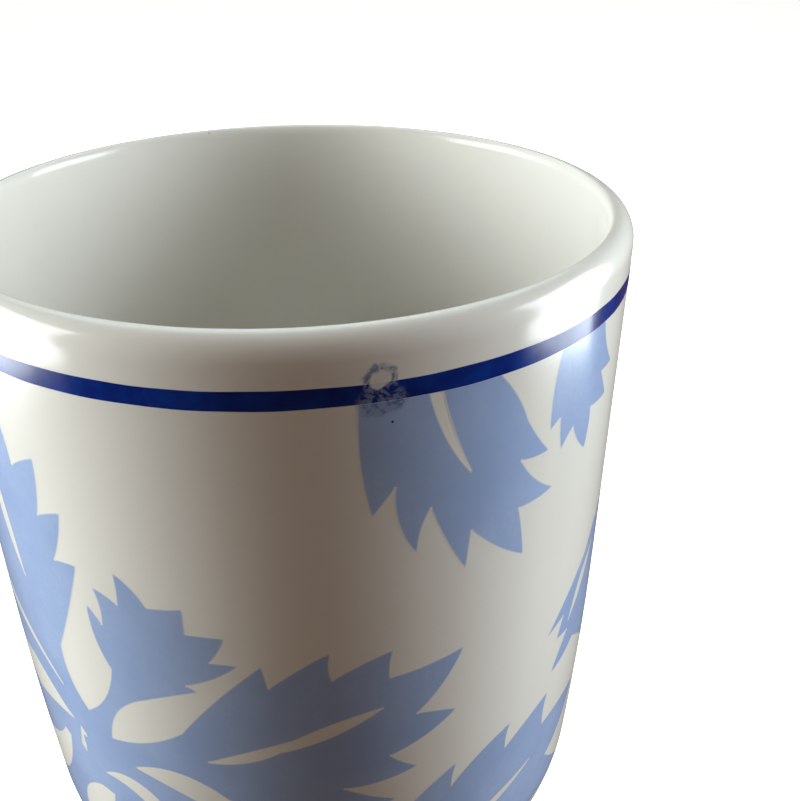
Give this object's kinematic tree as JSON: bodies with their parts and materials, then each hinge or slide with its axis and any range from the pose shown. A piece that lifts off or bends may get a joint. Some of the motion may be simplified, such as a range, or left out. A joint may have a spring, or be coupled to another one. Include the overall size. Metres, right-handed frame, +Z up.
{
  "type": "brush holder pot",
  "caption": "Open, slightly flared porcelain pot with a soft rim, a cobalt line under it and pale blue stencilled leaf sprays, which stands on a foot ring and holds brushes upright.",
  "frame": {"origin": "centre of the foot ring's bearing face, on the pot's axis", "axes": "+Z up along the pot's axis; -Y is the side that shows the large hanging leaf near its middle"},
  "size_m": [0.0844, 0.0844, 0.098],
  "materials": {
    "porcelain": "clear gloss glaze over warm white porcelain",
    "cobalt_line": "dark cobalt under gloss glaze, with pale pinholes and one blotch",
    "leaf_pigment": "pale blue under gloss glaze, soft at its edges"
  },
  "bodies": {
    "root": {"pot_body": "porcelain", "rim_line": "cobalt_line", "leaf_spray_front": "leaf_pigment", "leaf_spray_back": "leaf_pigment", "hanging_leaf_front": "leaf_pigment", "hanging_leaf_back": "leaf_pigment", "small_hanging_leaf_front": "leaf_pigment", "small_hanging_leaf_back": "leaf_pigment", "low_leaf_front": "leaf_pigment", "low_leaf_back": "leaf_pigment", "side_leaf_front": "leaf_pigment", "side_leaf_back": "leaf_pigment"}
  },
  "joints": []
}
